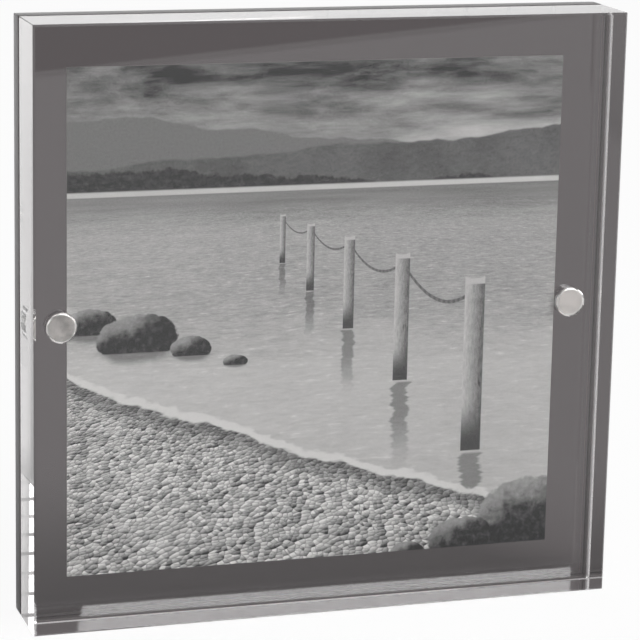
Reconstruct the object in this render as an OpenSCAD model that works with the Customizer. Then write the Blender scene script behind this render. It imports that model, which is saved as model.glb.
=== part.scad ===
// A photo print held between two acrylic slabs: a thick clear block in front and a thin
// smoke-grey panel behind. Disc magnets glued into blind pockets in the two facing sides
// pull the slabs together. The frame stands on its bottom edges.
// Millimetres. The origin is the bottom centre of the outer box, +Z is up and the front
// faces -Y, so left and right are the viewer's.

/* [Print] */
// Width of the photo print
print_w = 101.6; // [60:0.1:260]
// Height of the photo print
print_h = 101.6; // [60:0.1:260]
// Thickness of the photo paper
print_t = 0.24; // [0.15:0.01:0.4]
// Gap between the print and each slab
print_gap = 0.03; // [0.02:0.01:0.1]
// How far the print lies left of the middle
print_left = 0.85; // [0:0.05:2]
// How far the print lies below the middle
print_down = 0.2; // [0:0.05:2]

/* [Slabs] */
// Width of the border that the slabs leave round a centred print
border = 9.2; // [9:0.1:40]
// Thickness of the clear front block
block_t = 13; // [8:0.5:25]
// Thickness of the smoke-grey rear panel
panel_t = 4.8; // [4:0.2:12]
// Width of the polished chamfer round the front and the back of each slab
edge_chamfer = 0.4; // [0.2:0.1:1]
// Width of the finer chamfer along the four edges that run from front to back
corner_chamfer = 0.15; // [0.1:0.05:1]

/* [Magnets] */
// Diameter of each disc magnet
magnet_d = 6; // [4:0.5:8]
// Thickness of each disc magnet
magnet_t = 2; // [1.2:0.1:2.5]
// Radius of the rounded rim of a magnet
magnet_round = 0.5; // [0.1:0.05:0.55]
// Distance from the side of a centred print out to the axis of a magnet
magnet_out = 2.2; // [0:0.1:4]

/* [Pockets] */
// Gap between a magnet's rim and the wall of its pocket
pocket_play = 0.05; // [0.03:0.01:0.2]
// Thickness of the glue under each magnet
glue_t = 0.1; // [0.05:0.01:0.2]
// How far a magnet's face lies below the face of its slab
magnet_recess = 0.02; // [0.01:0.01:0.1]

/* [Hidden] */

clear_acrylic = [0.92, 0.95, 0.95, 0.35];
smoke_acrylic = [0.36, 0.35, 0.36, 0.8];
photo_paper = [0.62, 0.62, 0.61];
nickel = [0.78, 0.77, 0.75];
clear_glue = [0.85, 0.86, 0.84, 0.7];

// How far a cutting shape runs past the face that it cuts
overrun = 1;
// Segments of a full circle
round_fn = 64;

// The slabs' outline, the slot between them, and the places of their faces
slab_w = print_w + 2 * border;
slab_h = print_h + 2 * border;
slot_t = print_t + 2 * print_gap;
frame_t = block_t + slot_t + panel_t;
front_y = -frame_t / 2;
block_back_y = front_y + block_t;
panel_front_y = block_back_y + slot_t;

print_y = block_back_y + print_gap;
print_x = -print_left;
print_z = slab_h / 2 - print_down;

pocket_r = magnet_d / 2 + pocket_play;
pocket_depth = glue_t + magnet_t + magnet_recess;
magnet_x = print_w / 2 + magnet_out;
magnet_z = slab_h / 2;

// The outline of a slab seen along one axis, round the middle, with its corners cut off
module cut_rectangle(across, up, chamfer) {
    x = across / 2;
    y = up / 2;
    polygon([
        [-x + chamfer, -y], [x - chamfer, -y], [x, -y + chamfer], [x, y - chamfer],
        [x - chamfer, y], [-x + chamfer, y], [-x, y - chamfer], [-x, -y + chamfer]
    ]);
}

// A slab with a chamfer along all twelve edges, standing on z = 0 with its front at y = 0
module slab(thickness) {
    translate([0, thickness / 2, slab_h / 2])
    intersection() {
        rotate([90, 0, 0])
            linear_extrude(height = thickness, center = true)
                cut_rectangle(slab_w, slab_h, corner_chamfer);
        linear_extrude(height = slab_h, center = true)
            cut_rectangle(slab_w, thickness, edge_chamfer);
        rotate([0, 90, 0])
            linear_extrude(height = slab_w, center = true)
                cut_rectangle(slab_h, thickness, edge_chamfer);
    }
}

// Puts a shape on the axis of one magnet: side is -1 on the left and 1 on the right, and
// way is -1 where the shape's own +Z runs into the front block and 1 into the rear panel
module on_magnet_axis(side, way) {
    face_y = way < 0 ? block_back_y : panel_front_y;
    translate([side * magnet_x, face_y, magnet_z]) rotate([-way * 90, 0, 0]) children();
}

// A round blind pocket, its mouth at z = 0
module pocket() {
    translate([0, 0, -overrun])
        cylinder(h = pocket_depth + overrun, r = pocket_r, $fn = round_fn);
}

// A disc magnet with rounded rims, its free face just inside the mouth
module magnet() {
    r = magnet_d / 2;
    flat_r = r - magnet_round;
    color(nickel)
    translate([0, 0, magnet_recess])
    rotate_extrude($fn = round_fn) {
        square([flat_r, magnet_t]);
        translate([0, magnet_round]) square([r, magnet_t - 2 * magnet_round]);
        for (height = [magnet_round, magnet_t - magnet_round])
            translate([flat_r, height]) circle(r = magnet_round, $fn = round_fn);
    }
}

// The film of glue between a magnet and the bottom of its pocket
module glue() {
    color(clear_glue)
    translate([0, 0, magnet_recess + magnet_t])
        cylinder(h = glue_t, r = magnet_d / 2 - magnet_round, $fn = round_fn);
}

module front_block() {
    color(clear_acrylic)
    difference() {
        translate([0, front_y, 0]) slab(block_t);
        for (side = [-1, 1]) on_magnet_axis(side, -1) pocket();
    }
}

module rear_panel() {
    color(smoke_acrylic)
    difference() {
        translate([0, panel_front_y, 0]) slab(panel_t);
        for (side = [-1, 1]) on_magnet_axis(side, 1) pocket();
    }
}

module photo_print() {
    color(photo_paper)
    translate([print_x - print_w / 2, print_y, print_z - print_h / 2])
        cube([print_w, print_t, print_h]);
}

module front_magnet_left() {
    on_magnet_axis(-1, -1) magnet();
}

module front_magnet_right() {
    on_magnet_axis(1, -1) magnet();
}

module rear_magnet_left() {
    on_magnet_axis(-1, 1) magnet();
}

module rear_magnet_right() {
    on_magnet_axis(1, 1) magnet();
}

module front_glue_left() {
    on_magnet_axis(-1, -1) glue();
}

module front_glue_right() {
    on_magnet_axis(1, -1) glue();
}

module rear_glue_left() {
    on_magnet_axis(-1, 1) glue();
}

module rear_glue_right() {
    on_magnet_axis(1, 1) glue();
}

front_block();
rear_panel();
photo_print();
front_magnet_left();
front_magnet_right();
rear_magnet_left();
rear_magnet_right();
front_glue_left();
front_glue_right();
rear_glue_left();
rear_glue_right();
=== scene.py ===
"""Finishes a free-standing acrylic photo frame: a clear block and a smoke-grey panel, held
together by nickel-plated magnets, with a black-and-white print of a lake between them."""

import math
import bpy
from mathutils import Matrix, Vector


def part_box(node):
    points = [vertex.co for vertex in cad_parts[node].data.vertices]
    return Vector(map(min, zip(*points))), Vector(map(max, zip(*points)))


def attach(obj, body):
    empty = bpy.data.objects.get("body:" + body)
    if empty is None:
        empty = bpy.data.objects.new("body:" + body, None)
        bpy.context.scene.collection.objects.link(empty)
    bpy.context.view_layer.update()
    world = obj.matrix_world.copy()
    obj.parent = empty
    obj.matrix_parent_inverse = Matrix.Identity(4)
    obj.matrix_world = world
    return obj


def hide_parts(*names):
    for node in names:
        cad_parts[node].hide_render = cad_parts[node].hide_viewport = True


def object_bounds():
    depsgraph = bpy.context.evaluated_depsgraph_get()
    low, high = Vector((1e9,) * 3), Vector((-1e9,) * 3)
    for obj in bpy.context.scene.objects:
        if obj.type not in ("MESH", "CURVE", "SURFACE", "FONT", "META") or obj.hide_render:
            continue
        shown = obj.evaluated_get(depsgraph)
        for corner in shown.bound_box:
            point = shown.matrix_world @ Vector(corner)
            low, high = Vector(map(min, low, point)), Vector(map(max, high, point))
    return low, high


bl_info = {
    "name": "Acrylic Photo Frame",
    "version": (1, 0, 0),
    "blender": (4, 5, 0),
    "location": "View3D > Sidebar > Photo Frame",
    "description": "Gives an acrylic photo frame its finishes, its print and its studio",
    "category": "Object",
}

import bmesh
import bpy
from bpy.props import FloatProperty, FloatVectorProperty, IntProperty, PointerProperty
from mathutils import Matrix, Vector

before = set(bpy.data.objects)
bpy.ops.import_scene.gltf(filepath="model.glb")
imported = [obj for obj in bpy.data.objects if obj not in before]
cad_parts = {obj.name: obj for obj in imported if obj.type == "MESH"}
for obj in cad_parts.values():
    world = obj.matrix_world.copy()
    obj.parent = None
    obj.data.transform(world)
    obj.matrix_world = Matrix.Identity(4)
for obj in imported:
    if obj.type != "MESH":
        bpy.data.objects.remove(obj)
CAD_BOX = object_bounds()
PRINT_LOW, PRINT_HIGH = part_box("photo_print")

SIDES = ("left", "right")
MAGNETS = [f"{slab}_magnet_{side}" for slab in ("front", "rear") for side in SIDES]
GLUES = [f"{slab}_glue_{side}" for slab in ("front", "rear") for side in SIDES]

MM = 0.001

# The direction that a face of a slab looks in has three parts. On a chamfer none of them is
# above FLAT_FACE, on a narrow side the part to the front or back is below NARROW_FACE, and
# on an upright edge the part to the left or right is above UPRIGHT_EDGE.
FLAT_FACE = 0.9
NARROW_FACE = 0.5
UPRIGHT_EDGE = 0.3
# How far from the seam its edges have their own finish
SEAM_REACH = 1 * MM
# How far past its magnet's rim a pocket's finish reaches, and how rough its wall is
POCKET_MARGIN = 0.2 * MM
POCKET_ROUGHNESS = 0.1

# Half the width of the soft outlines in the picture, as a share of the print
SOFT = 0.003
# Share of a post's height at which the rope is tied to it
ROPE_HEIGHT = 0.93
# Place and half size of each boulder, as shares of the print
LAKE_BOULDERS = (
    ((0.045, 0.5), (0.06, 0.034)),
    ((0.14, 0.47), (0.085, 0.05)),
    ((0.245, 0.445), (0.045, 0.026)),
    ((0.335, 0.415), (0.026, 0.014)),
)
SHORE_BOULDERS = (
    ((0.97, 0.05), (0.13, 0.09)),
    ((0.82, 0.015), (0.075, 0.05)),
    ((0.7, -0.005), (0.04, 0.026)),
)

# Corners in the rim of a film of glue, and the turn in radians from one film to the next
RIM_SEGMENTS = 72
RIM_TURN = 1.7

# Half the width of the floor, in metres, and how far it lies below the frame, so that the
# two don't share a plane
FLOOR_REACH = 6
FLOOR_DROP = 0.08 * MM
# How far the shade behind the frame and the dim floor on the left slant: metres sideways
# for each metre away
SHADE_SLANT = 0.7
LEFT_SLANT = 0.2
# How far away, in metres, the dim floor on the left begins to fade, and where it ends
LEFT_FADE = (0.15, 0.9)
# Widths over which the floor goes from bright to dim: at the frame's front, inside and
# outside its left side, and at the end of the paper
FRONT_BLUR = 5 * MM
LEFT_BLUR_INSIDE = 5 * MM
LEFT_BLUR_OUTSIDE = 8 * MM
PAPER_BLUR = 10 * MM

# Where the softbox hangs and how large it is, in radians and metres
KEY_AZIMUTH = math.radians(36)
KEY_ELEVATION = math.radians(32)
KEY_DISTANCE = 1.2
KEY_WIDTH = 1.1
KEY_HEIGHT = 0.95

# The nearest that the camera sees, in metres
CLIP_START = 0.01
# How often a line of sight may turn, in all and in glass or metal. The bright sides of the
# block need many turns inside it.
MAX_BOUNCES = 32
GLASS_BOUNCES = 24


class AcrylicSettings(bpy.types.PropertyGroup):
    """Colours and finish of the two slabs."""

    clear_tint: FloatVectorProperty(
        name="Clear tint",
        description="Share of each colour that gets through the depth of the clear block",
        subtype="COLOR",
        size=3,
        min=0.01,
        max=0.99,
        default=(0.985, 0.983, 0.983),
    )
    smoke_tint: FloatVectorProperty(
        name="Smoke tint",
        description="Share of each colour that gets through the depth of the smoke-grey panel",
        subtype="COLOR",
        size=3,
        min=0.01,
        max=0.99,
        default=(0.122, 0.109, 0.112),
    )
    ior: FloatProperty(
        name="Index of refraction",
        description="How strongly cast acrylic bends light",
        min=1,
        max=2,
        default=1.49,
    )
    chamfer_roughness: FloatProperty(
        name="Chamfer roughness",
        description="Roughness that the milling cutter leaves on the chamfers",
        subtype="FACTOR",
        min=0,
        max=1,
        default=0.1,
    )
    scraped_roughness: FloatProperty(
        name="Scraped roughness",
        description="Roughness of the upright edges at the seam, which are only scraped",
        subtype="FACTOR",
        min=0,
        max=1,
        default=0.55,
    )
    satin_roughness: FloatProperty(
        name="Satin roughness",
        description="Roughness of the smoke-grey panel's narrow sides, which are sawn and sanded",
        subtype="FACTOR",
        min=0,
        max=1,
        default=0.4,
    )
    edge_ripple: FloatProperty(
        name="Edge ripple",
        description="Height of the ripple that polishing leaves on the narrow sides",
        subtype="DISTANCE",
        unit="LENGTH",
        min=0,
        default=0.0007 * MM,
    )


class MagnetSettings(bpy.types.PropertyGroup):
    """Finish of the magnets, and the shape of the glue that holds them."""

    nickel_colour: FloatVectorProperty(
        name="Nickel colour",
        description="Colour of the plating",
        subtype="COLOR",
        size=3,
        min=0,
        max=1,
        default=(0.62, 0.605, 0.59),
    )
    nickel_roughness: FloatProperty(
        name="Nickel roughness",
        description="Roughness of the plating between its pits",
        subtype="FACTOR",
        min=0,
        max=1,
        default=0.32,
    )
    film_gap: FloatProperty(
        name="Film gap",
        description="Gap between the glue and what it touches, so that no two faces coincide",
        subtype="DISTANCE",
        unit="LENGTH",
        min=0,
        default=0.012 * MM,
    )
    glue_wander: FloatProperty(
        name="Glue wander",
        description="How far the rim of the glue wanders, as a share of its radius",
        subtype="FACTOR",
        min=0,
        max=0.2,
        default=0.02,
    )


class PictureSettings(bpy.types.PropertyGroup):
    """Layout and tones of the printed picture. Heights and places are shares of the print."""

    paper_white: FloatVectorProperty(
        name="Paper white",
        description="Colour of the bare paper",
        subtype="COLOR",
        size=3,
        min=0,
        max=1,
        default=(0.86, 0.85, 0.835),
    )
    ink_black: FloatVectorProperty(
        name="Ink black",
        description="Colour of the darkest print",
        subtype="COLOR",
        size=3,
        min=0,
        max=1,
        default=(0.012, 0.012, 0.013),
    )
    horizon: FloatProperty(
        name="Horizon",
        description="Height of the far shore",
        subtype="FACTOR",
        min=0.4,
        max=0.95,
        default=0.75,
    )
    shore_left: FloatProperty(
        name="Shore on the left",
        description="Height of the water's edge at the left side",
        subtype="FACTOR",
        min=0,
        max=1,
        default=0.4,
    )
    shore_right: FloatProperty(
        name="Shore on the right",
        description="Height of the water's edge at the right side",
        subtype="FACTOR",
        min=0,
        max=1,
        default=0.06,
    )
    post_count: IntProperty(
        name="Posts",
        description="Number of mooring posts in the row",
        min=2,
        max=8,
        default=5,
    )
    grain: FloatProperty(
        name="Film grain",
        description="Strength of the grain all over the print",
        subtype="FACTOR",
        min=0,
        max=1,
        default=0.2,
    )


class StudioSettings(bpy.types.PropertyGroup):
    """The floor, the light and the camera."""

    camera_azimuth: FloatProperty(
        name="Camera azimuth",
        description="Direction of the camera, negative to the left of the frame",
        subtype="ANGLE",
        default=math.radians(-17.78),
    )
    camera_elevation: FloatProperty(
        name="Camera elevation",
        description="How far the camera looks down",
        subtype="ANGLE",
        default=math.radians(13.3),
    )
    camera_roll: FloatProperty(
        name="Camera roll",
        description="Turn of the camera about its line of sight",
        subtype="ANGLE",
        default=math.radians(1.184),
    )
    camera_place: FloatVectorProperty(
        name="Camera place",
        description="Where the camera stands",
        subtype="TRANSLATION",
        unit="LENGTH",
        size=3,
        default=(-0.17228, -0.53751, 0.19188),
    )
    focal_length: FloatProperty(
        name="Focal length",
        description="Focal length on a sensor 36 mm wide, in millimetres",
        min=20,
        max=400,
        default=163.37,
    )
    floor_colour: FloatVectorProperty(
        name="Floor colour",
        description="Colour of the paper that the frame stands on",
        subtype="COLOR",
        size=3,
        min=0,
        max=1,
        default=(0.8, 0.8, 0.8),
    )
    floor_shading: FloatProperty(
        name="Floor shading",
        description="How much of the frame's shadow shows on the white floor",
        subtype="FACTOR",
        min=0,
        max=1,
        default=0.08,
    )
    front_share: FloatProperty(
        name="Floor in front",
        description="Brightness of the floor in front of the frame, as the acrylic reflects it",
        subtype="FACTOR",
        min=0,
        max=1,
        default=0.55,
    )
    left_share: FloatProperty(
        name="Floor on the left",
        description="Brightness of the floor beyond the frame's left side, away from the light",
        subtype="FACTOR",
        min=0,
        max=1,
        default=0.55,
    )
    under_share: FloatProperty(
        name="Floor under the block",
        description="Brightness of the floor that light reaches through the clear block",
        subtype="FACTOR",
        min=0,
        max=1,
        default=0.85,
    )
    paper_edge: FloatVectorProperty(
        name="Edge of the paper",
        description="Where the floor ends, right of the middle: metres in front, and its slant",
        size=2,
        default=(0.668, 0.5),
    )
    shade: FloatProperty(
        name="Shade",
        description="How much of the light the frame keeps from the floor at its foot",
        subtype="FACTOR",
        min=0,
        max=1,
        default=0.45,
    )
    shade_length: FloatProperty(
        name="Shade length",
        description="How far the frame's shade reaches behind it and in front",
        subtype="DISTANCE",
        unit="LENGTH",
        min=0,
        default=110 * MM,
    )
    key_strength: FloatProperty(
        name="Key light",
        description="Brightness of the softbox beside a white of 1",
        min=0,
        default=3.8,
    )
    room_strength: FloatProperty(
        name="Room in front",
        description="Brightness of the room above the camera, as the acrylic reflects it",
        min=0,
        default=0.3,
    )
    fill_strength: FloatProperty(
        name="Fill light",
        description="Brightness of the room round the frame beside a white of 1",
        min=0,
        default=0.6,
    )


class Expr:
    """A number in a node tree. Python's operators on it add Math nodes."""

    def __init__(self, nodes, socket):
        self.nodes = nodes
        self.socket = socket

    def __add__(self, other):
        return self.nodes.math("ADD", self, other)

    def __radd__(self, other):
        return self.nodes.math("ADD", other, self)

    def __sub__(self, other):
        return self.nodes.math("SUBTRACT", self, other)

    def __rsub__(self, other):
        return self.nodes.math("SUBTRACT", other, self)

    def __mul__(self, other):
        return self.nodes.math("MULTIPLY", self, other)

    def __rmul__(self, other):
        return self.nodes.math("MULTIPLY", other, self)

    def __truediv__(self, other):
        return self.nodes.math("DIVIDE", self, other)

    def __rtruediv__(self, other):
        return self.nodes.math("DIVIDE", other, self)

    def __pow__(self, other):
        return self.nodes.math("POWER", self, other)

    def __abs__(self):
        return self.nodes.math("ABSOLUTE", self)

    def __lt__(self, other):
        return self.nodes.math("LESS_THAN", self, other)

    def __gt__(self, other):
        return self.nodes.math("GREATER_THAN", self, other)


class Nodes:
    """The emptied node tree of a material or world, with one way to add each kind of node."""

    def __init__(self, owner):
        owner.use_nodes = True
        self.tree = owner.node_tree
        self.tree.nodes.clear()

    def add(self, kind, settings=None, inputs=None):
        """Adds a node, sets its settings, then gives its sockets their values or links."""
        node = self.tree.nodes.new(kind)
        for name, value in (settings or {}).items():
            setattr(node, name, value)
        for name, value in (inputs or {}).items():
            if isinstance(value, Expr):
                value = value.socket
            if isinstance(value, bpy.types.NodeSocket):
                self.tree.links.new(value, node.inputs[name])
            else:
                node.inputs[name].default_value = value
        return node

    def number(self, kind, settings=None, inputs=None, output=0):
        """One number that a node gives."""
        return Expr(self, self.add(kind, settings, inputs).outputs[output])

    def math(self, operation, *values):
        """The result of a Math node."""
        return self.number("ShaderNodeMath", {"operation": operation}, dict(enumerate(values)))

    def rise(self, value, low, high):
        """0 below low, 1 above high and a soft rise between. It falls where low is above high."""
        settings = {"interpolation_type": "SMOOTHSTEP"}
        inputs = {"Value": value, "From Min": low, "From Max": high}
        return self.number("ShaderNodeMapRange", settings, inputs)

    def blend(self, share, first, second):
        """The number that goes from first to second as share goes from 0 to 1."""
        return first + (second - first) * share

    def point(self, x=0.0, y=0.0, z=0.0):
        """A vector from its three parts."""
        return self.add("ShaderNodeCombineXYZ", inputs={"X": x, "Y": y, "Z": z}).outputs[0]

    def split(self, vector):
        """The three numbers of a vector."""
        node = self.add("ShaderNodeSeparateXYZ", inputs={0: vector})
        return [Expr(self, socket) for socket in node.outputs]

    def noise(self, vector, scale, detail=2.0, roughness=0.5, distortion=0.0):
        """Soft noise round 0, about from -0.5 to 0.5."""
        inputs = {"Vector": vector, "Scale": scale, "Detail": detail,
                  "Roughness": roughness, "Distortion": distortion}
        return self.number("ShaderNodeTexNoise", inputs=inputs) - 0.5

    def colour(self, share, first, second):
        """The colour that goes from first to second as share goes from 0 to 1."""
        inputs = {"Factor": share, 6: (*first, 1), 7: (*second, 1)}
        return self.add("ShaderNodeMix", {"data_type": "RGBA"}, inputs).outputs[2]

    def bump(self, strength, distance, height):
        """The direction that a surface faces once it has bumps, distance metres high."""
        inputs = {"Strength": strength, "Distance": distance, "Height": height}
        return self.add("ShaderNodeBump", inputs=inputs).outputs[0]

    def coordinates(self):
        """The place on the piece, in metres, and the direction that the surface faces."""
        node = self.add("ShaderNodeTexCoord")
        return node.outputs["Object"], node.outputs["Normal"]

    def finish(self, shader, output="ShaderNodeOutputMaterial", **more):
        """Adds the output node. More are its other inputs, such as Volume."""
        self.add(output, inputs={"Surface": shader.outputs[0], **more})


def new_material(name):
    """A material and its emptied node tree."""
    material = bpy.data.materials.new(name)
    return material, Nodes(material)


def give(node_name, material):
    """Puts a material in every slot of a CAD node."""
    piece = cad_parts[node_name]
    if not piece.material_slots:
        piece.data.materials.append(material)
    for slot in piece.material_slots:
        slot.material = material


def near_magnets(n, x, z):
    """1 inside the pockets that hold the magnets, seen along the depth of the frame."""
    low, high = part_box("front_magnet_right")
    middle = (low + high) / 2
    pocket_radius = (high.x - low.x) / 2 + POCKET_MARGIN
    across, up = abs(x) - middle.x, z - middle.z
    return across * across + up * up < pocket_radius ** 2


def absorption(n, node_name, tint):
    """Takes light on its way, so that the tint is what gets through the depth of a slab."""
    low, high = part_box(node_name)
    taken = [-math.log(share) / (high.y - low.y) for share in tint]
    density = max(taken)
    colour = [1 - part / density for part in taken]
    node = n.add("ShaderNodeVolumeAbsorption", inputs={"Color": (*colour, 1), "Density": density})
    return node.outputs[0]


def acrylic(material_name, node_name, tint, sanded):
    """Gives a slab its polished cast acrylic. The chamfers and the pockets keep the cutter's
    fine matt finish, and the upright edges at the seam are scraped. The narrow sides have a
    faint ripple and a few polishing lines, and sanded is the roughness that they start from."""
    look = bpy.context.scene.photo_frame_acrylic
    material, n = new_material(material_name)
    place, facing = n.coordinates()
    x, y, z = n.split(place)
    face_x, face_y, face_z = (abs(part) for part in n.split(facing))
    flattest = n.math("MAXIMUM", n.math("MAXIMUM", face_x, face_y), face_z)
    chamfer = flattest < FLAT_FACE
    at_seam = abs(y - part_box("front_block")[1].y) < SEAM_REACH
    scraped = at_seam * (face_x > UPRIGHT_EDGE)
    narrow = face_y < NARROW_FACE
    pocket = near_magnets(n, x, z)
    ripple = n.noise(n.point(x * 0.15, y * 9, z * 0.15), 260, 2)
    lines = n.noise(n.point(x * 0.05, y * 30, z * 0.05), 900, 2)
    smear = n.noise(place, 45, 4, 0.6)
    side_roughness = n.rise(lines, 0.16, 0.34) * 0.012 + sanded
    face_roughness = n.rise(smear, 0.08, 0.4) * 0.006
    polished = n.blend(narrow, face_roughness, side_roughness)
    milled = n.blend(scraped, look.chamfer_roughness, look.scraped_roughness)
    roughness = n.blend(chamfer, polished, milled + sanded)
    roughness = n.blend(pocket, roughness, narrow * POCKET_ROUGHNESS)
    shader = n.add("ShaderNodeBsdfPrincipled", inputs={
        "Base Color": (1, 1, 1, 1), "Transmission Weight": 1.0, "IOR": look.ior,
        "Roughness": roughness, "Normal": n.bump(1.0, look.edge_ripple, ripple * narrow)})
    n.finish(shader, Volume=absorption(n, node_name, tint))
    give(node_name, material)


class FRAME_OT_clear_block(bpy.types.Operator):
    """Give the front block its polished clear acrylic"""

    bl_idname = "photo_frame.clear_block"
    bl_label = "Clear Block"

    def execute(self, context):
        look = context.scene.photo_frame_acrylic
        acrylic("polished_clear_acrylic", "front_block", look.clear_tint, 0)
        return {"FINISHED"}


class FRAME_OT_smoke_panel(bpy.types.Operator):
    """Give the rear panel its smoke-grey acrylic"""

    bl_idname = "photo_frame.smoke_panel"
    bl_label = "Smoke Panel"

    def execute(self, context):
        look = context.scene.photo_frame_acrylic
        acrylic("polished_smoke_acrylic", "rear_panel", look.smoke_tint, look.satin_roughness)
        return {"FINISHED"}


def lake_sky(n, s, t, horizon):
    """An overcast sky, bright over the hills and heavy towards the top."""
    height = n.rise(t, horizon, 1.02)
    bend = n.noise(n.point(s, t * 2), 3, 2) * 0.4
    clouds = n.noise(n.point(s * 1.3 + bend, t * 4.2), 2.6, 6, 0.6)
    wisps = n.noise(n.point(s * 2 + bend, t * 14), 3.2, 4, 0.65)
    return n.blend(height, 0.56, 0.1) + clouds * 1.3 + wisps * 0.5


def hills(n, s, t, start, slope, swell, width, offset):
    """1 below the line of a ridge: start and slope give its mean height, swell its ups and
    downs, width how many of them there are, and offset which ones."""
    ridge = start + s * slope + n.noise(n.point(s + offset), width, 5, 0.55) * swell
    return n.rise(t - ridge, SOFT, -SOFT)


def wooded(n, s, t, start, slope, swell, offset):
    """1 below a line of treetops."""
    crowns = n.noise(n.point(s + offset, t * 0.3), 46, 4, 0.7) * 0.03
    ridge = start + s * slope + n.noise(n.point(s + offset), 4.5, 3, 0.5) * swell
    return n.rise(t - ridge - crowns, SOFT, -SOFT)


def lake_ground(n, s, t, horizon):
    """Places on flat ground or water, across and away, as they shrink towards the horizon."""
    distance = 1 / n.math("MAXIMUM", horizon - t, 0.012)
    across = (s - 0.5) * distance ** 0.75
    away = n.math("LOGARITHM", distance, math.e)
    return across, away


def lake_water(n, s, t, horizon):
    """Rippled water, darker under the far shore and calm and bright nearer the beach."""
    across, away = lake_ground(n, s, t, horizon)
    swell = n.noise(n.point(across * 2.6, away * 9), 1.0, 3, 0.5, 0.6)
    ripples = n.noise(n.point(across * 8, away * 34), 1.3, 4, 0.66, 0.5)
    chop = n.noise(n.point(across * 24, away * 88), 1.0, 2, 0.6)
    glints = n.rise(ripples + chop * 0.5, 0.1, 0.3)
    calm = n.rise(t + n.noise(n.point(s * 1.2, t * 6), 2.2, 3) * 0.14, 0.52, 0.38)
    lively = n.blend(calm, 1, 0.5) * n.rise(horizon - t, 0.004, 0.05)
    tone = n.blend(calm, 0.43, 0.6) + n.rise(s, 0.8, 0) * 0.07
    return tone + (swell * 0.2 + ripples * 0.5 + chop * 0.3 + glints * 0.2) * lively


def pebbles(n, s, t, horizon):
    """A beach of small rounded stones, lit from the upper left."""
    across, away = lake_ground(n, s, t, horizon)
    bend = n.noise(n.point(across, away), 5, 2) * 4
    vector = n.point(across * 62 + bend, away * 94 + bend)
    settings = {"feature": "F1", "voronoi_dimensions": "2D"}
    stone = n.add("ShaderNodeTexVoronoi", settings, {"Vector": vector, "Scale": 1.0})
    settings["feature"] = "DISTANCE_TO_EDGE"
    gap = n.number("ShaderNodeTexVoronoi", settings, {"Vector": vector, "Scale": 1.0})
    shade, worn = n.split(stone.outputs["Color"])[:2]
    inward = n.add("ShaderNodeVectorMath", {"operation": "SUBTRACT"},
                   {0: vector, 1: stone.outputs["Position"]})
    lean_x, lean_y = n.split(inward.outputs[0])[:2]
    body = 0.55 + (shade - 0.5) * 0.62 + lean_y * 0.5 - lean_x * 0.3
    rim = n.rise(gap + (worn - 0.5) * 0.12, -0.1, 0.16)
    speckle = n.noise(n.point(across * 120, away * 160), 1.0, 2)
    drifts = n.noise(n.point(across, away * 2), 3, 3) * 0.5
    return n.blend(rim, 0.2, body) + speckle * 0.45 + drifts


def above_shore(n, s, t, look):
    """How far a place lies above the wavy edge of the water, as a share of the print."""
    wave = n.noise(n.point(s), 5, 3, 0.55) * 0.07 + n.noise(n.point(s), 26, 2) * 0.012
    edge = look.shore_left + (look.shore_right - look.shore_left) * s ** 0.85
    return t - (edge + wave)


def post_row(look):
    """Foot, height and width of each mooring post, from the nearest to the farthest."""
    near_foot = Vector((0.83, 0.2))
    vanishing = Vector((0.28, look.horizon + 0.005))
    near_height, near_width, step = 0.36, 0.021, 0.72
    for i in range(look.post_count):
        size = step ** i
        foot = vanishing + (near_foot - vanishing) * size
        yield foot, near_height * size, near_width * size


def post_reflections(n, s, t, posts, tone):
    """Draws the broken reflections of the posts in the water."""
    wobble = n.noise(n.point(s * 2, t * 70), 1.0, 3) * 0.06
    for foot, height, width in posts:
        side = (s + wobble * (height / posts[0][1]) - foot.x) / width
        drawn = n.rise(abs(side), 1.3, 0.8)
        depth = (foot.y - t) / height
        shown = n.rise(depth, 0, 0.02) * n.rise(depth, 0.8, 0.2)
        tone = n.blend(drawn * shown * 0.66, tone, 0.08)
    return tone


def rope(n, s, t, far_post, near_post, tone):
    """Draws the rope that sags from one post to the next."""
    foot, height, width = far_post
    nearer, near_height, near_width = near_post
    run = (s - foot.x) / (nearer.x - foot.x)
    top = foot.y + height * ROPE_HEIGHT
    near_top = nearer.y + near_height * ROPE_HEIGHT
    sag = run * (1 - run) * (height * 0.75)
    line = top + run * (near_top - top) - sag
    thick = near_width * 0.24
    inside = n.rise(run, 0, 0.01) * n.rise(run, 1, 0.99)
    strands = n.math("SINE", run * 95) * 0.05
    drawn = n.rise(abs(t - line), thick, thick * 0.5) * inside
    return n.blend(drawn * 0.9, tone, 0.12 + strands)


def wooden_post(n, s, t, post, tone):
    """Draws one weathered post, lit from the left, dark and wet at its foot."""
    foot, height, width = post
    side = (s - foot.x) / width
    up = (t - foot.y) / height
    rounded_top = side * side * 0.012
    outline = n.rise(abs(side), 1.06, 0.94)
    drawn = outline * n.rise(up, 0, 0.01) * n.rise(up - rounded_top, 1, 0.985)
    bark = n.noise(n.point(side * 1.6, up * 9, foot.x * 9), 2.4, 4, 0.6)
    cracks = n.rise(n.noise(n.point(side * 5, up * 4, foot.x), 2.2, 3, 0.6), 0.12, 0.2)
    wood = 0.33 - side * 0.27 + bark * 0.42 - cracks * 0.2
    wood = wood * n.rise(up, 0.05, 0.32) + 0.04
    cap = n.rise(up, 0.955, 0.965)
    return n.blend(drawn, tone, n.blend(cap, wood, 0.62))


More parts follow.
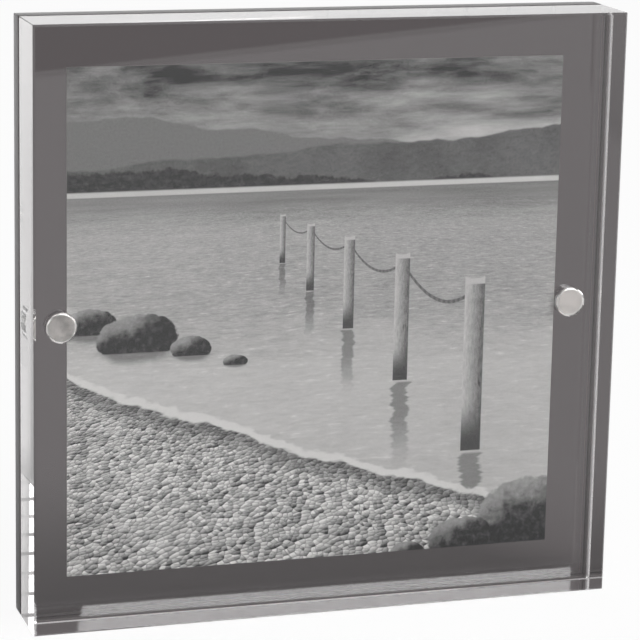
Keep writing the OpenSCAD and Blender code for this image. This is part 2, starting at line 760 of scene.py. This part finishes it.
def boulder(n, s, t, place, size, craggy, grit, tone):
    """Draws one dark wet boulder with a light top and a shadow at its foot."""
    across = (s - place[0]) / size[0]
    up = (t - place[1]) / size[1]
    radius = (across * across + up * up) ** 0.5 + craggy
    below = n.rise(radius, 1.2, 0.8) * n.rise(up, -0.4, -0.55) * n.rise(up, -1.5, -0.7)
    shape = n.rise(radius, 1, 0.93) * n.rise(up, -0.6, -0.52)
    planes = up * 0.5 - across * 0.34 + craggy * 1.6
    lit = n.rise(planes, 0.04, 0.5) * 0.36 + grit * 0.36
    tone = n.blend(below * 0.7, tone, 0.08)
    return n.blend(shape, tone, lit)


def lake_picture(n, s, t, look):
    """The tone of the picture at each place, from black at 0 to paper white at 1."""
    horizon = look.horizon
    tone = lake_sky(n, s, t, horizon)
    far_hills = hills(n, s, t, horizon + 0.15, slope=-0.09, swell=0.12, width=2.6, offset=4.2)
    tone = n.blend(far_hills, tone, 0.2)
    leaves = n.noise(n.point(s, t * 1.6), 60, 4, 0.75)
    slope_shade = n.noise(n.point(s * 1.4, t), 7, 3) * 0.16
    near_hills = hills(n, s, t, horizon + 0.05, slope=0.06, swell=0.1, width=3.4, offset=9.1)
    tone = n.blend(near_hills, tone, 0.11 + slope_shade + leaves * 0.16)
    woods = wooded(n, s, t, horizon + 0.05, slope=-0.05, swell=0.07, offset=1.7)
    tone = n.blend(woods, tone, 0.02 + leaves * 0.26)
    far_beach = n.rise(abs(t - horizon - 0.004), 0.008, 0.003)
    tone = n.blend(far_beach * 0.85, tone, 0.8)
    water = lake_water(n, s, t, horizon)
    streaks = n.noise(n.point(s * 4, t * 90), 1.0, 3) * 0.5
    mirror = n.rise(t + streaks * 0.08, horizon - 0.085, horizon - 0.01)
    water = water - mirror * (0.2 + streaks * 0.4)
    tone = n.blend(n.rise(t, horizon, horizon - SOFT), tone, water)
    craggy = n.noise(n.point(s, t), 17, 5, 0.62) * 0.55
    grit = n.noise(n.point(s, t), 75, 5, 0.6)
    for place, size in LAKE_BOULDERS:
        tone = boulder(n, s, t, place, size, craggy, grit, tone)
    posts = list(post_row(look))
    tone = post_reflections(n, s, t, posts, tone)
    for near_post, far_post in zip(posts[:-1], posts[1:]):
        tone = rope(n, s, t, far_post, near_post, tone)
    for post in reversed(posts):
        tone = wooden_post(n, s, t, post, tone)
    above = above_shore(n, s, t, look)
    wet = n.rise(above, -0.05, -0.008)
    stones = pebbles(n, s, t, horizon) * n.blend(wet, 1, 0.42)
    tone = n.blend(n.rise(above, 0.002, -0.002), tone, stones)
    foam = n.noise(n.point(s * 30, t * 60), 1.0, 3) * 0.03
    wash = n.rise(abs(above - 0.008 + foam), 0.012, 0.004)
    tone = n.blend(wash * 0.85, tone, 0.86)
    for place, size in SHORE_BOULDERS:
        tone = boulder(n, s, t, place, size, craggy, grit, tone)
    return tone


class FRAME_OT_print(bpy.types.Operator):
    """Print the picture on the front of the paper"""

    bl_idname = "photo_frame.print"
    bl_label = "Photo Print"

    def execute(self, context):
        look = context.scene.photo_frame_picture
        material, n = new_material("satin_print")
        place, facing = n.coordinates()
        x, _, z = n.split(place)
        s = (x - PRINT_LOW.x) / (PRINT_HIGH.x - PRINT_LOW.x)
        t = (z - PRINT_LOW.z) / (PRINT_HIGH.z - PRINT_LOW.z)
        grain = n.noise(n.point(s, t), 240, 3, 0.8)
        tone = lake_picture(n, s, t, look) + grain * look.grain
        face_y = n.split(facing)[1]
        printed = face_y < -0.5
        bare = n.blend(face_y > 0.5, 0.4, 1)
        tone = n.blend(printed, bare, tone)
        fibre = n.noise(place, 2600, 3, 0.6)
        roughness = n.blend(printed, 0.62, 0.42 + fibre * 0.06)
        shader = n.add("ShaderNodeBsdfPrincipled", inputs={
            "Base Color": n.colour(tone, look.ink_black, look.paper_white),
            "Roughness": roughness, "Specular IOR Level": 0.35,
            "Normal": n.bump(0.25, 0.004 * MM, fibre)})
        n.finish(shader)
        give("photo_print", material)
        return {"FINISHED"}


def mesh_object(name, shape, material):
    """An object at the origin from a bmesh, which is freed."""
    mesh = bpy.data.meshes.new(name)
    shape.to_mesh(mesh)
    shape.free()
    mesh.materials.append(material)
    piece = bpy.data.objects.new(name, mesh)
    bpy.context.scene.collection.objects.link(piece)
    return piece


class FRAME_OT_magnets(bpy.types.Operator):
    """Plate the disc magnets with nickel"""

    bl_idname = "photo_frame.magnets"
    bl_label = "Magnets"

    def execute(self, context):
        look = context.scene.photo_frame_magnets
        material, n = new_material("nickel_plating")
        place, facing = n.coordinates()
        across = n.split(place)[0]
        flat = n.rise(abs(n.split(facing)[1]), 0.75, 0.97)
        mottle = n.noise(place, 420, 4, 0.6)
        smudges = n.rise(n.noise(place, 240, 2), 0.02, 0.16)
        pits = n.rise(n.noise(place, 1500, 3, 0.6), 0.14, 0.24)
        # Painted light: the plating's colour brightens from the magnets on the left to those on
        # the right, where the light falls, on top of its mottle and smudges.
        painted_light_right = n.rise(across, -0.05, 0.05)
        tone_and_painted_light = 0.42 + painted_light_right * 0.55 + mottle * 1.2 - smudges * 0.35
        # dull and bright are the two ends of the colour ramp: shaded and lit copies of the
        # nickel, which also carry the mottle and smudges.
        dull, bright = look.nickel_colour * 0.72, look.nickel_colour * 1.55
        roughness = look.nickel_roughness * n.blend(flat, 0.7, 1) + mottle * 0.14 + pits * 0.15
        # Painted highlight: away from the flat faces, the rims' colour is set near the lightest
        # nickel all the way round.
        shader = n.add("ShaderNodeBsdfPrincipled", inputs={
            "Base Color": n.colour(n.blend(flat, 0.9, tone_and_painted_light), dull, bright),
            "Metallic": 1.0, "Roughness": roughness,
            "Normal": n.bump(0.5, 0.006 * MM, mottle - pits * 0.6)})
        n.finish(shader)
        for name in MAGNETS:
            give(name, material)
        return {"FINISHED"}


def glue_film(node_name, look, turn):
    """A film of glue with an uneven rim, in the middle of the space that the glue fills."""
    low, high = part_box(node_name)
    middle = (low + high) / 2
    radius = (high.x - low.x) / 2
    thickness = high.y - low.y - 2 * look.film_gap
    shape = bmesh.new()
    rim = bmesh.ops.create_circle(
        shape, cap_ends=True, radius=radius, segments=RIM_SEGMENTS)["verts"]
    for vert in rim:
        angle = math.atan2(vert.co.y, vert.co.x) + turn
        waves = math.sin(3 * angle) + 0.6 * math.sin(7 * angle + turn) - 1
        vert.co *= 1 + look.glue_wander * waves * 0.5
    pushed = bmesh.ops.extrude_face_region(shape, geom=shape.faces[:])["geom"]
    top = [part for part in pushed if isinstance(part, bmesh.types.BMVert)]
    bmesh.ops.translate(shape, verts=top, vec=(0, 0, thickness))
    bmesh.ops.translate(shape, verts=shape.verts, vec=(0, 0, -thickness / 2))
    bmesh.ops.rotate(shape, verts=shape.verts, matrix=Matrix.Rotation(math.pi / 2, 3, "X"))
    bmesh.ops.translate(shape, verts=shape.verts, vec=middle)
    bmesh.ops.recalc_face_normals(shape, faces=shape.faces)
    return shape


class FRAME_OT_glue(bpy.types.Operator):
    """Spread the clear glue under the magnets"""

    bl_idname = "photo_frame.glue"
    bl_label = "Glue"

    def execute(self, context):
        look = context.scene.photo_frame_magnets
        material, n = new_material("cured_glue")
        place, _ = n.coordinates()
        bubbles = n.rise(n.noise(place, 900, 2, 0.5), 0.16, 0.22)
        flow = n.noise(place, 300, 2)
        shader = n.add("ShaderNodeBsdfPrincipled", inputs={
            "Base Color": (0.95, 0.935, 0.93, 1), "Transmission Weight": 1.0,
            "IOR": context.scene.photo_frame_acrylic.ior,
            "Roughness": bubbles * 0.25 + 0.02,
            "Normal": n.bump(0.3, 0.004 * MM, flow + bubbles * 0.4)})
        n.finish(shader)
        for i, node_name in enumerate(GLUES):
            shape = glue_film(node_name, look, RIM_TURN * i)
            piece = mesh_object(f"{node_name}_film", shape, material)
            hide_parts(node_name)
            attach(piece, node_name.split("_")[0])
        return {"FINISHED"}


def rays(n):
    """1 for rays straight from the camera, and 1 for rays that glass or metal has turned."""
    path = n.add("ShaderNodeLightPath")
    glass = Expr(n, path.outputs["Is Transmission Ray"])
    mirror = Expr(n, path.outputs["Is Glossy Ray"])
    return Expr(n, path.outputs["Is Camera Ray"]), n.math("MAXIMUM", glass, mirror)


def floor_material(look):
    """White paper that shows as white to the camera, except for a trace of shadow. The acrylic
    shows it with the frame's shade at its foot, darker in front and on the left, away from
    the light, and it ends at the dark room in front."""
    material, n = new_material("floor_paper")
    camera, turned = rays(n)
    place, _ = n.coordinates()
    x, y, _ = n.split(place)
    low, high = CAD_BOX
    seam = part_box("front_block")[1].y
    outside = abs(y - (low.y + high.y) / 2) - (high.y - low.y) / 2
    slanted = abs(x + n.math("MAXIMUM", y, 0) * SHADE_SLANT)
    beside = n.rise(slanted, high.x, high.x + look.shade_length / 4)
    shaded = n.rise(outside, look.shade_length, 0) * (1 - beside) * look.shade
    front = n.rise(y, low.y, low.y - FRONT_BLUR)
    left = n.rise(x + y * LEFT_SLANT, low.x + LEFT_BLUR_INSIDE, low.x - LEFT_BLUR_OUTSIDE)
    left = left * (1 - front) * n.rise(y, LEFT_FADE[1], LEFT_FADE[0])
    open_floor = n.blend(front, 1, look.front_share) * (1 - shaded)
    open_floor = open_floor * n.blend(left, 1, look.left_share)
    ahead, slant = look.paper_edge
    paper = n.rise(y + x * slant, -ahead - PAPER_BLUR, -ahead)
    paper = n.blend(x < 0, paper, 1)
    covered = n.blend(y < seam, 0, look.under_share)
    under = (outside < 0) * (abs(x) < high.x)
    reflected = n.blend(under, open_floor * paper, covered)
    tooth = n.noise(place, 300, 2) + 0.5
    tinted = n.colour(tooth, look.floor_colour * 0.98, look.floor_colour * 1.02)
    lit = n.add("ShaderNodeBsdfDiffuse", inputs={"Color": tinted})
    grey = n.colour(n.math("MAXIMUM", camera, reflected), (0, 0, 0), (1, 1, 1))
    white = n.add("ShaderNodeEmission", inputs={"Color": grey, "Strength": 1.0})
    seen = n.math("MAXIMUM", camera, turned)
    mix = n.add("ShaderNodeMixShader", inputs={
        0: seen * (1 - look.floor_shading), 1: lit.outputs[0], 2: white.outputs[0]})
    n.finish(mix)
    return material


def room(look):
    """White behind and beside the frame. The acrylic reflects a dim room above the camera and
    a dim ceiling on the left, away from the light. Across, away and up are the parts of the
    direction that a ray looks in."""
    world = bpy.data.worlds.new("studio")
    n = Nodes(world)
    camera, turned = rays(n)
    across, away, up = n.split(n.add("ShaderNodeTexCoord").outputs["Generated"])
    front = n.rise(away, -0.1, -0.4)
    ceiling = n.rise(up, 0.8, 0.92) * n.rise(across, 0, -0.15)
    reflected = n.blend(n.math("MAXIMUM", front, ceiling), 1, look.room_strength)
    strength = n.blend(turned, look.fill_strength, reflected)
    strength = n.blend(camera, strength, 1)
    back = n.add("ShaderNodeBackground", inputs={"Color": (1, 1, 1, 1), "Strength": strength})
    n.finish(back, "ShaderNodeOutputWorld")
    bpy.context.scene.world = world


def direction(azimuth, elevation):
    """The way from the frame to what stands at an azimuth, 0 in front and negative on the
    left, and at an elevation."""
    return Vector((math.sin(azimuth) * math.cos(elevation),
                   -math.cos(azimuth) * math.cos(elevation), math.sin(elevation)))


def softbox(look):
    """Adds a rectangle of soft light that faces the middle of the frame."""
    light = bpy.data.lights.new("key_light", "AREA")
    light.shape = "RECTANGLE"
    light.size = KEY_WIDTH
    light.size_y = KEY_HEIGHT
    light.energy = look.key_strength * KEY_WIDTH * KEY_HEIGHT * math.pi
    lamp = bpy.data.objects.new("key_light", light)
    back = direction(KEY_AZIMUTH, KEY_ELEVATION)
    lamp.location = (CAD_BOX[0] + CAD_BOX[1]) / 2 + back * KEY_DISTANCE
    lamp.rotation_euler = back.to_track_quat("Z", "Y").to_euler()
    bpy.context.scene.collection.objects.link(lamp)


def photo_camera(look):
    """Adds the camera, where the photograph was taken from."""
    camera_data = bpy.data.cameras.new("camera")
    camera_data.lens = look.focal_length
    camera_data.clip_start = CLIP_START
    camera = bpy.data.objects.new("camera", camera_data)
    back = direction(look.camera_azimuth, look.camera_elevation)
    turn = back.to_track_quat("Z", "Y").to_matrix().to_4x4()
    roll = Matrix.Rotation(look.camera_roll, 4, "Z")
    camera.matrix_world = Matrix.Translation(look.camera_place) @ turn @ roll
    bpy.context.scene.collection.objects.link(camera)
    bpy.context.scene.camera = camera


class FRAME_OT_studio(bpy.types.Operator):
    """Set up the floor, the light and the camera"""

    bl_idname = "photo_frame.studio"
    bl_label = "Studio"

    def execute(self, context):
        scene = context.scene
        look = scene.photo_frame_studio
        shape = bmesh.new()
        bmesh.ops.create_grid(shape, x_segments=1, y_segments=1, size=FLOOR_REACH)
        bmesh.ops.translate(shape, verts=shape.verts, vec=(0, 0, -FLOOR_DROP))
        floor = mesh_object("floor", shape, floor_material(look))
        room(look)
        softbox(look)
        photo_camera(look)
        scene.view_settings.view_transform = "Standard"
        scene.cycles.max_bounces = MAX_BOUNCES
        scene.cycles.glossy_bounces = GLASS_BOUNCES
        scene.cycles.transmission_bounces = GLASS_BOUNCES
        scene.cycles.blur_glossy = 0
        return {"FINISHED"}


class FRAME_PT_sidebar(bpy.types.Panel):
    """Lists the pieces of the frame"""

    bl_idname = "FRAME_PT_sidebar"
    bl_label = "Photo Frame"
    bl_space_type = "VIEW_3D"
    bl_region_type = "UI"
    bl_category = "Photo Frame"

    def draw(self, context):
        for operator in OPERATORS:
            self.layout.operator(operator.bl_idname)
        for group in GROUPS:
            settings = getattr(context.scene, group)
            for name in settings.__annotations__:
                self.layout.prop(settings, name)


OPERATORS = (FRAME_OT_clear_block, FRAME_OT_smoke_panel, FRAME_OT_print, FRAME_OT_magnets,
             FRAME_OT_glue, FRAME_OT_studio)
GROUPS = {
    "photo_frame_acrylic": AcrylicSettings,
    "photo_frame_magnets": MagnetSettings,
    "photo_frame_picture": PictureSettings,
    "photo_frame_studio": StudioSettings,
}


def register():
    for kind in (*GROUPS.values(), *OPERATORS, FRAME_PT_sidebar):
        bpy.utils.register_class(kind)
    for name, kind in GROUPS.items():
        setattr(bpy.types.Scene, name, PointerProperty(type=kind))


def unregister():
    for name in GROUPS:
        delattr(bpy.types.Scene, name)
    for kind in reversed((*GROUPS.values(), *OPERATORS, FRAME_PT_sidebar)):
        bpy.utils.unregister_class(kind)


def main():
    register()
    bpy.ops.photo_frame.clear_block()
    bpy.ops.photo_frame.smoke_panel()
    bpy.ops.photo_frame.print()
    bpy.ops.photo_frame.magnets()
    bpy.ops.photo_frame.glue()
    bpy.ops.photo_frame.studio()


if __name__ == "__main__":
    main()
